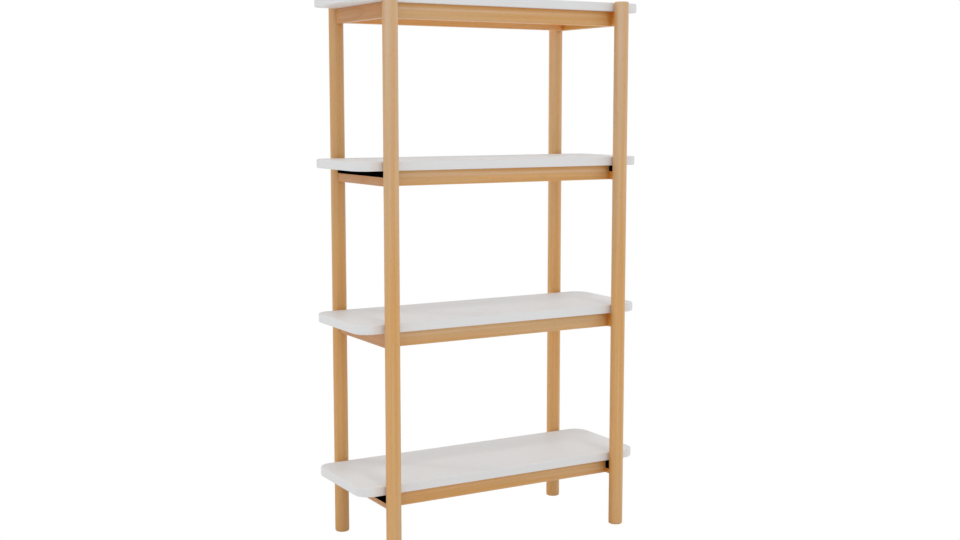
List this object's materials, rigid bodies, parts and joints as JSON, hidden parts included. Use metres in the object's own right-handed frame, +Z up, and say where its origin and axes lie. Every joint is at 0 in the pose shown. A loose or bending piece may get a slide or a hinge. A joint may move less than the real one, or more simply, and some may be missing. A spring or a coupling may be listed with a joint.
{
  "type": "miniature bookcase",
  "caption": "Open miniature bookcase: round wooden posts carry white round-cornered shelves on wooden rail frames, with black spacer bars under some of the shelves.",
  "frame": {"origin": "on the floor, at the centre of the four feet", "axes": "+Z up, +X along the shelves, -Y towards the front"},
  "size_m": [0.0666, 0.028, 0.112],
  "materials": {
    "wood": "pale straight-grained hardwood, satin",
    "white_board": "satin white lacquer on fine board",
    "black_spacer": "matte black",
    "brass_pin": "drawn wire, bright"
  },
  "bodies": {
    "root": {"bottom_front_rail": "wood", "bottom_left_rail": "wood", "bottom_left_spacer": "black_spacer", "bottom_rear_rail": "wood", "bottom_right_rail": "wood", "bottom_right_spacer": "black_spacer", "bottom_shelf": "white_board", "front_left_post": "wood", "front_right_post": "wood", "lower_front_rail": "wood", "lower_left_rail": "wood", "lower_rear_rail": "wood", "lower_right_rail": "wood", "lower_shelf": "white_board", "post_pins": "brass_pin", "rail_pins": "brass_pin", "rear_left_post": "wood", "rear_right_post": "wood", "shelf_pins_bottom": "brass_pin", "shelf_pins_plain": "brass_pin", "shelf_pins_upper": "brass_pin", "top_front_rail": "wood", "top_left_rail": "wood", "top_rear_rail": "wood", "top_right_rail": "wood", "top_shelf": "white_board", "upper_front_rail": "wood", "upper_left_rail": "wood", "upper_left_spacer": "black_spacer", "upper_rear_rail": "wood", "upper_right_rail": "wood", "upper_right_spacer": "black_spacer", "upper_shelf": "white_board"}
  },
  "joints": []
}
